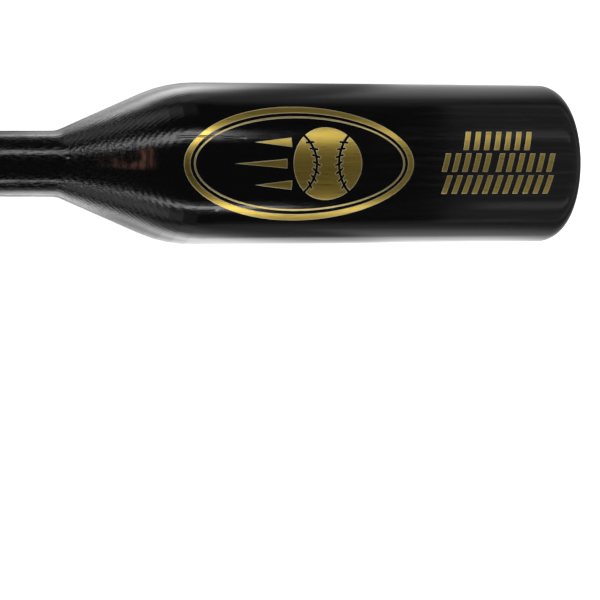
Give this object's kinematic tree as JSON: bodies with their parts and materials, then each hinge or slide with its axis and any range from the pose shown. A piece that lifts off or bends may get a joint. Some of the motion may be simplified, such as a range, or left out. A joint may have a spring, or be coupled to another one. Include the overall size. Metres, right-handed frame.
{
  "type": "one-hand training bat",
  "caption": "Short baseball training bat: slim handle with a knob, steep shoulder and a straight full-size barrel, turned in wood, lacquered black, with gold foil graphics.",
  "frame": {"origin": "on the bat's axis, at the centre of the knob's flat end face", "axes": "+X along the axis towards the barrel end, +Z out of the printed side through the foil emblem, +Y up on the printed graphics"},
  "size_m": [0.5588, 0.0635, 0.0635],
  "materials": {
    "black_lacquered_wood": "semi-gloss black lacquer over turned wood, grain and turning marks showing through, brown where it is thin",
    "gold_foil": "hot-pressed gold foil, fine brushed grain"
  },
  "bodies": {
    "root": {"bat_body": "black_lacquered_wood", "oval_band_foil": "gold_foil", "oval_pinstripe_foil": "gold_foil", "ball_left_panel_foil": "gold_foil", "ball_middle_panel_foil": "gold_foil", "ball_right_panel_foil": "gold_foil", "speed_line_upper_foil": "gold_foil", "speed_line_middle_foil": "gold_foil", "speed_line_lower_foil": "gold_foil", "dash_row_upper_foil": "gold_foil", "dash_row_middle_foil": "gold_foil", "dash_row_lower_foil": "gold_foil"}
  },
  "joints": []
}
